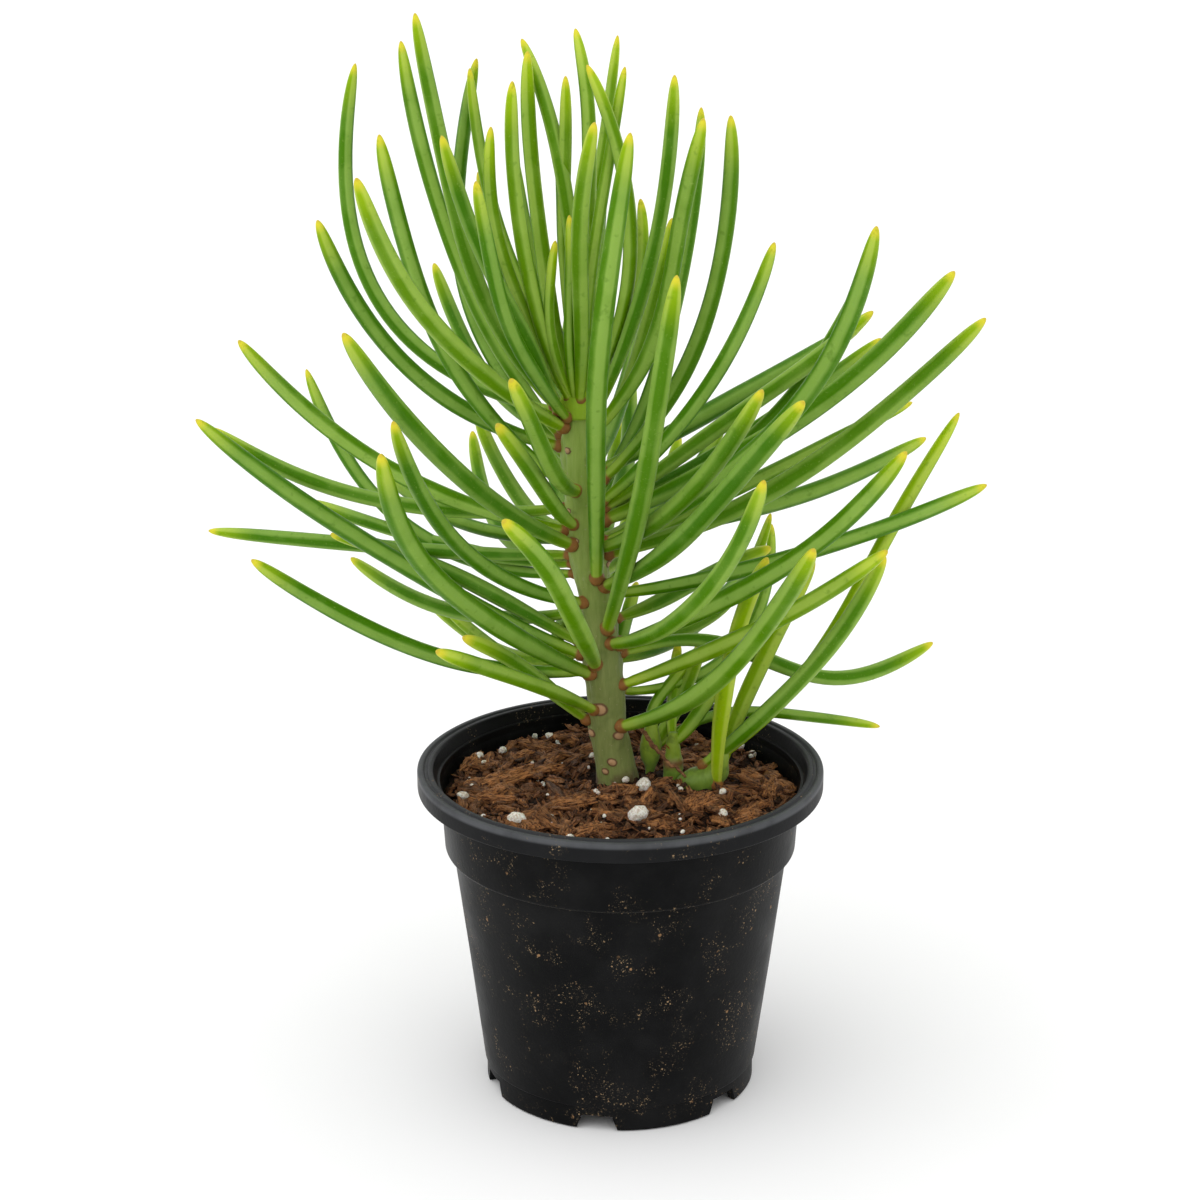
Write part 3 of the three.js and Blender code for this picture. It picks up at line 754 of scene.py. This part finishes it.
# ---------------------------------------------------------------- dry twig
middles, radii = rings_along("dry_twig", 0.5)
middles, radii = middles[::-1], radii[::-1]
along = np.linspace(0, 1, 70)
place_at = np.linspace(0, 1, len(middles))
line = np.stack([np.interp(along, place_at, middles[:, k]) for k in range(3)], 1)
line[:, 2] += 0.35 * np.sin(along * 17) + 0.2 * np.sin(along * 41)
line[:, 1] += 0.3 * np.sin(along * 23 + 1)
knot = 0.25 * np.exp(-((along - 0.3) / 0.04) ** 2)
radius = np.interp(along, place_at, radii) * (1 + 0.12 * np.sin(along * 60) + knot)
heap = Heap()
points, faces = sweep(line, radius, 14, (0.0, 1.0, 0.0))
heap.add(points, faces)
fork = line[16] + np.outer(np.linspace(0, 1, 14) ** 0.9, np.array([-2.2, -1.5, 3.6]))
points, faces = sweep(fork, np.linspace(0.35, 0.12, 14), 10, (0.0, 1.0, 0.0))
heap.add(points, faces)
heap.piece("fine_dry_twig", TWIG, "twig", ["dry_twig"])


# ---------------------------------------------------------------- pot
def rounded(profile):
    """Points of (radius, height, rounding), each corner drawn as an arc of that size."""
    out = []
    for k, (r, z, size) in enumerate(profile):
        here = np.array([r, z], float)
        if size <= 0 or k in (0, len(profile) - 1):
            out.append(here)
            continue
        before = np.array(profile[k - 1][:2], float) - here
        after = np.array(profile[k + 1][:2], float) - here
        size = min(size, np.linalg.norm(before) * 0.49, np.linalg.norm(after) * 0.49)
        first, last = here + unit(before) * size, here + unit(after) * size
        for t in np.linspace(0, 1, 6):
            out.append((1 - t) ** 2 * first + 2 * t * (1 - t) * here + t ** 2 * last)
    return np.array(out)


def lathe(profile, sides):
    """A closed body turned from a profile that starts and ends on the axis."""
    inner = profile[1:-1]
    angle = np.arange(sides) * 2 * math.pi / sides
    rings = [np.stack([r * np.cos(angle), r * np.sin(angle), np.full(sides, z)], 1) for r, z in inner]
    points = np.concatenate([[[0, 0, profile[0][1]]], *rings, [[0, 0, profile[-1][1]]]])
    faces = []
    last = len(points) - 1
    for side in range(sides):
        after = (side + 1) % sides
        faces.append((0, 1 + after, 1 + side))
        for ring in range(len(inner) - 1):
            low = 1 + ring * sides
            faces.append((low + side, low + after, low + sides + after, low + sides + side))
        faces.append((last - sides + side, last - sides + after, last))
    return points, faces


rim_bottom = POT_HEIGHT - 5.6
wall_profile = rounded([
    (0, FLOOR_HEIGHT, 0), (20, FLOOR_HEIGHT, 0), (35.8, FLOOR_HEIGHT, 0.8), (35.8, 0, 0.6), (38.2, 0, 0.7),
    (38.2, FOOT_HEIGHT - 0.4, 0.15), (FOOT_RADIUS, FOOT_HEIGHT, 0.3), (42.9, 38, 0),
    (STEP_RADIUS - 0.06, STEP_HEIGHT - 0.8, 0.4), (COLLAR_BOTTOM, STEP_HEIGHT + 0.1, 0.7), (50.1, 82, 0),
    (COLLAR_TOP, rim_bottom + 2.5, 0.5), (RIM_RADIUS - WALL, rim_bottom + 2.5, 0.4),
    (RIM_RADIUS - WALL, rim_bottom, 0.4), (RIM_RADIUS, rim_bottom, 0.7), (RIM_RADIUS, POT_HEIGHT, 1.9),
    (RIM_RADIUS - 1.7, POT_HEIGHT, 0.3), (RIM_RADIUS - 2.0, POT_HEIGHT - 0.45, 0.15),
    (RIM_RADIUS - 2.7, POT_HEIGHT - 0.45, 0.15), (RIM_RADIUS - 3.0, POT_HEIGHT, 0.3),
    (RIM_RADIUS - 4.3, POT_HEIGHT, 0.9), (COLLAR_TOP - WALL + 0.9, rim_bottom, 1.5), (49.3, 82, 0),
    (COLLAR_BOTTOM - WALL, STEP_HEIGHT, 0.4), (STEP_RADIUS - WALL, STEP_HEIGHT - 0.8, 0.4), (41.7, 38, 0),
    (FOOT_RADIUS - WALL, 7.2, 0), (FOOT_RADIUS - WALL, 6.2, 0.8), (20, 6.2, 0), (0, 6.2, 0),
])
points, faces = lathe(wall_profile, 192)
rng = np.random.default_rng(3)
away = unit(points * np.array([1, 1, 0]) + 1e-9)
points = points + away * (0.1 * wave(rng, points * 0.045))[:, None]
pot = piece("fine_pot", points, faces, POT, ["pot"])


def cutter(name, bodies):
    heap = Heap()
    for points, faces in bodies:
        heap.add(points, faces)
    mesh = bpy.data.meshes.new(name)
    mesh.from_pydata(place(np.concatenate(heap.points)).tolist(), [], heap.faces)
    made = bpy.data.objects.new(name, mesh)
    bpy.context.scene.collection.objects.link(made)
    return made


def foot_gap(turn):
    """A trapezoid that runs out through the foot ring."""
    c, s = math.cos(turn), math.sin(turn)
    points = []
    for r in (30.5, 42.5):
        for half, z in ((6.25, -1), (4.25, 4.4)):
            for side in (-half, half):
                points.append((r * c - side * s, r * s + side * c, z))
    faces = [(0, 2, 3, 1), (4, 5, 7, 6), (0, 1, 5, 4), (2, 6, 7, 3), (0, 4, 6, 2), (1, 3, 7, 5)]
    return np.array(points), faces


def drain_hole(turn):
    middle = np.array([27 * math.cos(turn), 27 * math.sin(turn), 0])
    line = middle + np.outer((2.0, 9.0), UP)
    return sweep(line, [3.5, 3.5], 32, (1, 0, 0))


turns = [math.radians(-100 + 60 * k) for k in range(6)]
cutters = cutter("gaps", [foot_gap(t) for t in turns] + [drain_hole(t) for t in turns])
bpy.context.view_layer.update()
cut = pot.modifiers.new("gaps", "BOOLEAN")
cut.operation, cut.solver, cut.object = "DIFFERENCE", "EXACT", cutters
done = bpy.data.meshes.new_from_object(pot.evaluated_get(bpy.context.evaluated_depsgraph_get()))
pot.modifiers.clear()
pot.data = done
bpy.data.objects.remove(cutters)
pot.data.set_sharp_from_angle(angle=math.radians(32))
z = np.array([v.co.z for v in pot.data.vertices]) / MM
pot.data.attributes.new("height", "FLOAT", "POINT").data.foreach_set("value", z.astype(np.float32))
across = np.array([(v.co.x - AXIS[0], v.co.y - AXIS[1]) for v in pot.data.vertices]) / MM
across = np.linalg.norm(across, axis=1).astype(np.float32)
pot.data.attributes.new("radius", "FLOAT", "POINT").data.foreach_set("value", across)


# ---------------------------------------------------------------- potting mix
def surface(x, y):
    """The height of the mix, in millimetres."""
    x, y = np.asarray(x, float), np.asarray(y, float)
    rng = np.random.default_rng(21)
    flat = np.stack([x.ravel(), y.ravel(), np.zeros(x.size)], 1)
    bumps = 0.9 * wave(rng, flat * 0.11) + 0.55 * wave(rng, flat * 0.3)
    far = np.hypot(x, y).ravel() / 50.0
    height = SOIL_HEIGHT + 1.2 * (1 - far ** 2) + bumps - 1.2 * smooth(0.9, 1.0, far)
    return height.reshape(x.shape)


TOP_RINGS, SOIL_SIDES = 74, 200
top_radii = np.linspace(0.6, 49.9, TOP_RINGS)
angle = np.arange(SOIL_SIDES) * 2 * math.pi / SOIL_SIDES
grid_x = top_radii[:, None] * np.cos(angle)
grid_y = top_radii[:, None] * np.sin(angle)
grid_z = surface(grid_x, grid_y)
rng = np.random.default_rng(22)
flat = np.stack([grid_x.ravel(), grid_y.ravel(), np.zeros(grid_x.size)], 1)
grid_z += (0.5 * wave(rng, flat * 1.1)).reshape(grid_z.shape)
rings = [np.stack([grid_x[k], grid_y[k], grid_z[k]], 1) for k in range(TOP_RINGS)]
soil_side = (
    (48.7, 82), (47.7, STEP_HEIGHT + 0.5), (45.4, STEP_HEIGHT - 0.4), (40.0, 38), (37.1, 7.6), (36.4, 6.7),
)
for r, z in soil_side:
    rings.append(np.stack([r * np.cos(angle), r * np.sin(angle), np.full(SOIL_SIDES, float(z))], 1))
points = np.concatenate([[[0, 0, grid_z[0].mean()]], *rings, [[0, 0, 6.7]]])
faces = []
last = len(points) - 1
for side in range(SOIL_SIDES):
    after = (side + 1) % SOIL_SIDES
    faces.append((0, 1 + side, 1 + after))
    for ring in range(len(rings) - 1):
        low = 1 + ring * SOIL_SIDES
        faces.append((low + side, low + SOIL_SIDES + side, low + SOIL_SIDES + after, low + after))
    faces.append((last - SOIL_SIDES + side, last, last - SOIL_SIDES + after))
piece("fine_soil", points, faces, SOIL, ["soil"])


# ---------------------------------------------------------------- bark, perlite and grit
def flake(rng, size, steps):
    """A torn, fibrous chip in its own frame: a box of steps, bent, frayed and tapered."""
    nx, ny = steps
    length, width, thick = size
    xs, ys = np.linspace(-0.5, 0.5, nx + 1), np.linspace(-0.5, 0.5, ny + 1)
    bend, twist = rng.normal(0, 0.16), rng.normal(0, 0.35)
    ends = rng.uniform(-0.28, 0.28, (2, ny + 1))
    edges = rng.normal(0, 0.1, (2, nx + 1))
    narrow = rng.uniform(0.35, 0.95, 2)
    relief = rng.normal(0, 0.2, (2, nx + 1, ny + 1))
    layers = []
    for side in (0, 1):
        gx, gy = np.meshgrid(xs, ys, indexing="ij")
        across = 1 - (1 - narrow[0]) * smooth(0.0, 0.5, gx) - (1 - narrow[1]) * smooth(0.0, -0.5, gx)
        fx = gx * (1 + np.where(gx > 0, ends[0], ends[1]) * 0.6)
        fy = gy * across + np.where(gy > 0, edges[0][:, None], edges[1][:, None]) * np.abs(gy)
        rim = (1 - smooth(0.3, 0.5, np.abs(gx)) * 0.6) * (1 - smooth(0.25, 0.5, np.abs(gy)) * 0.7)
        fz = (side - 0.5) * rim * (1 + relief[side] * 1.2)
        x, y, z = fx * length, fy * width, fz * thick + bend * length * gx ** 2
        z = z + twist * gx * gy * width
        layers.append(np.stack([x, y, z], -1).reshape(-1, 3))
    points = np.concatenate(layers)
    count = (nx + 1) * (ny + 1)
    faces = []

    def at(i, j, layer):
        return layer * count + i * (ny + 1) + j

    for i in range(nx):
        for j in range(ny):
            faces.append((at(i, j, 0), at(i, j + 1, 0), at(i + 1, j + 1, 0), at(i + 1, j, 0)))
            faces.append((at(i, j, 1), at(i + 1, j, 1), at(i + 1, j + 1, 1), at(i, j + 1, 1)))
    for i in range(nx):
        faces.append((at(i, 0, 0), at(i + 1, 0, 0), at(i + 1, 0, 1), at(i, 0, 1)))
        faces.append((at(i, ny, 0), at(i, ny, 1), at(i + 1, ny, 1), at(i + 1, ny, 0)))
    for j in range(ny):
        faces.append((at(0, j, 0), at(0, j, 1), at(0, j + 1, 1), at(0, j + 1, 0)))
        faces.append((at(nx, j, 0), at(nx, j + 1, 0), at(nx, j + 1, 1), at(nx, j, 1)))
    return points, faces


def turned(points, yaw, pitch, roll):
    """Rolls, then tilts up, then turns, in degrees."""
    cy, cp, cr = (math.cos(math.radians(v)) for v in (yaw, pitch, roll))
    sy, sp, sr = (math.sin(math.radians(v)) for v in (yaw, pitch, roll))
    rolled = points @ np.array([[1, 0, 0], [0, cr, sr], [0, -sr, cr]])
    tilted = rolled @ np.array([[cp, 0, sp], [0, 1, 0], [-sp, 0, cp]])
    return tilted @ np.array([[cy, sy, 0], [-sy, cy, 0], [0, 0, 1]])


# Where the stems leave the mix: x, y and the radius kept free.
STEM_FEET = ((-1.0, 9.0, 7.2), (8.5, 12.0, 2.6), (15.0, 8.0, 3.6), (23.0, 3.0, 4.6))


def clear_of_stems(x, y, gap):
    return all(math.hypot(x - a, y - b) > r + gap for a, b, r in STEM_FEET)


def scatter(rng, heap, count, lengths, widths, thicks, steps, lift, tone, tilt=24):
    made = 0
    while made < count:
        r, a = 48.5 * math.sqrt(rng.uniform()), rng.uniform(0, 2 * math.pi)
        x, y = r * math.cos(a), r * math.sin(a)
        length = rng.uniform(*lengths)
        if r + length * 0.4 > 49.9 or not clear_of_stems(x, y, length * 0.45):
            continue
        made += 1
        size = (length, rng.uniform(*widths), rng.uniform(*thicks))
        points, faces = flake(rng, size, steps)
        own = points + rng.uniform(0, 400, 3)
        points = turned(points, rng.uniform(0, 360), rng.normal(0, tilt * 0.6), rng.normal(0, tilt))
        points += (x, y, float(surface(np.array([x]), np.array([y]))[0]) + rng.uniform(*lift))
        heap.add(points, faces, grain=own, tone=rng.uniform(*tone) ** 1.5)


# The chips that stand out: x, y, yaw, pitch, roll, length, width, thickness, tone.
BIG_CHIPS = [
    (-32, 6, 22, 8, 12, 17, 6.5, 2.8, 0.0), (-14, -13, 12, 4, -10, 13, 7, 3.0, 0.05),
    (22, -16, 40, 6, 10, 8.5, 6.5, 4.0, 0.0), (-42, 18, 60, 10, 20, 11, 5, 2.4, 0.1),
    (-22, 21, 28, 5, 12, 12, 5, 2.2, 0.2), (-23, 12, 8, 8, -14, 13, 5.5, 2.4, 0.05),
    (-37, -6, 35, 5, 10, 11, 5.5, 2.6, 0.1), (20, 26, 150, 6, 10, 11, 5, 2.4, 0.15),
    (38, 14, 120, 8, 8, 10, 5, 2.4, 0.1), (42, -2, 80, 4, -12, 10, 6, 2.6, 0.15),
    (34, -20, 35, 6, 10, 12, 5.5, 2.6, 0.05), (10, -27, 170, 4, 8, 12, 5.5, 2.6, 0.1),
    (-8, -32, 20, 5, -8, 11, 5.5, 2.8, 0.1), (-26, -28, 140, 6, 12, 11, 5.5, 2.6, 0.15),
    (-6, 30, 10, 6, 10, 12, 5, 2.4, 0.2), (2, 40, 35, 6, 12, 12, 5, 2.2, 0.2), (-24, 34, 160, 4, 8, 11, 5, 2.4, 0.2),
    (28, 36, 30, 5, 10, 11, 5, 2.2, 0.25), (30, -34, 20, 5, 8, 10, 5, 2.4, 0.1), (0, -42, 5, 4, 8, 11, 5, 2.4, 0.15),
]
rng = np.random.default_rng(71)
chips = Heap()
for x, y, yaw, pitch, roll, length, width, thick, tone in BIG_CHIPS:
    points, faces = flake(rng, (length, width, thick), (14, 8))
    own = points + rng.uniform(0, 400, 3)
    points = turned(points, yaw, pitch, roll)
    points += (x, y, float(surface(np.array([x]), np.array([y]))[0]) + thick * 0.35)
    chips.add(points, faces, grain=own, tone=tone)
scatter(rng, chips, 190, (5.5, 11), (2.2, 4.6), (1.0, 2.2), (9, 5), (0.0, 1.4), (0.0, 0.75))
chips.piece("bark_chips", CHIP, "soil", sharp=50)

crumbs = Heap()
scatter(rng, crumbs, 900, (2.4, 5.5), (1.0, 2.4), (0.6, 1.3), (4, 2), (0.0, 1.2), (0.0, 0.85), 35)
scatter(rng, crumbs, 1500, (1.0, 2.6), (0.5, 1.4), (0.4, 1.0), (2, 1), (0.1, 1.3), (0.0, 0.9), 45)
crumbs.piece("bark_crumbs", CRUMB, "soil", sharp=50)


def pebble(rng, size, rough, rings=14, sides=18):
    """A lumpy closed grain."""
    share = np.linspace(0.04, 0.96, rings)
    line = np.outer(-np.cos(share * math.pi), UP)
    points, faces = sweep(line, np.sin(share * math.pi), sides, (1, 0, 0))
    points[0], points[-1] = -UP, UP
    points = unit(points)
    points = points * (1 + rough * wave(rng, points * 1.6) + rough * 0.4 * wave(rng, points * 4.0))[:, None]
    points = points * np.array([1, rng.uniform(0.75, 1.0), rng.uniform(0.65, 0.9)]) * size / 2
    return turned(points, rng.uniform(0, 360), rng.uniform(-30, 30), rng.uniform(-30, 30)), faces


# Perlite grains: x, y, size.
GRAINS = [
    (6.5, -2.5, 5.2), (4.5, -26, 5.8), (-28.5, -27.5, 5.0), (1.5, 1.5, 2.6), (-44, -5, 3.6), (-40.5, 20.5, 2.8),
    (-25.5, 44, 3.0), (-20.5, 42, 2.6), (17.5, 40.5, 2.8), (35, 31, 2.8), (38.5, 27.5, 2.4), (28.5, -7, 2.4),
    (28, -22, 3.0), (-14, -36, 2.2), (40, 8, 2.2), (-34, 30, 2.6), (12, -40, 2.4), (-8, 24, 2.0),
]
rng = np.random.default_rng(91)
grains = Heap()
for x, y, size in GRAINS:
    points, faces = pebble(rng, size, 0.13)
    height = float(surface(np.array([x]), np.array([y]))[0])
    grains.add(points + (x, y, height + size * 0.3 + 0.9), faces)
for _ in range(70):
    r, a = 46 * math.sqrt(rng.uniform()), rng.uniform(0, 2 * math.pi)
    x, y, size = r * math.cos(a), r * math.sin(a), rng.uniform(0.7, 1.7)
    if clear_of_stems(x, y, 1):
        points, faces = pebble(rng, size, 0.1, 7, 9)
        height = float(surface(np.array([x]), np.array([y]))[0])
        grains.add(points + (x, y, height + 1.2), faces)
grains.piece("perlite_grains", PERLITE, "soil")

# ---------------------------------------------------------------- floor, light and camera
floor_look = Look("floor", Roughness=0.9, Specular_IOR_Level=0.0)
floor_look.shader.inputs["Base Color"].default_value = (0.9, 0.9, 0.9, 1.0)
mesh = bpy.data.meshes.new("floor")
half = 9.0
corners = [(-half, -half, 0), (half, -half, 0), (half, half, 0), (-half, half, 0)]
mesh.from_pydata(corners, [], [(0, 1, 2, 3)])
mesh.materials.append(floor_look.material)
floor = bpy.data.objects.new("floor", mesh)
floor.location.z = min(cad_low.z, 0.0) - 0.0002
bpy.context.scene.collection.objects.link(floor)
floor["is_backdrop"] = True

scene = bpy.context.scene
scene.view_settings.view_transform = "Standard"
world = bpy.data.worlds.new("studio")
scene.world = world
world.use_nodes = True
background = world.node_tree.nodes["Background"]
background.inputs["Color"].default_value = (1.0, 1.0, 1.0, 1.0)
background.inputs["Strength"].default_value = 1.0


def lamp(name, kind, energy, location, target, **settings):
    data = bpy.data.lights.new(name, kind)
    data.energy = energy
    for key, value in settings.items():
        setattr(data, key, value)
    made = bpy.data.objects.new(name, data)
    scene.collection.objects.link(made)
    made.location = location
    away = [a - b for a, b in zip(location, target)]
    flat = math.hypot(away[0], away[1])
    made.rotation_euler = (math.atan2(flat, away[2]), 0, math.atan2(away[0], -away[1]))
    return made


middle = (float(AXIS[0]), float(AXIS[1]), 0.15)
lamp("key", "SUN", 1.0, (-0.7, -0.8, 2.4), middle, angle=math.radians(75))

camera = bpy.data.objects.new("camera", bpy.data.cameras.new("camera"))
scene.collection.objects.link(camera)
camera.location = (AXIS[0] - 0.00573, AXIS[1] - 0.8366, 0.4264)
camera.rotation_euler = (math.radians(90 - 18.69), 0, 0)
camera.data.sensor_width = 36.0
camera.data.lens = 96.07
camera.data.clip_end = 40.0
scene.camera = camera

low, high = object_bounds()
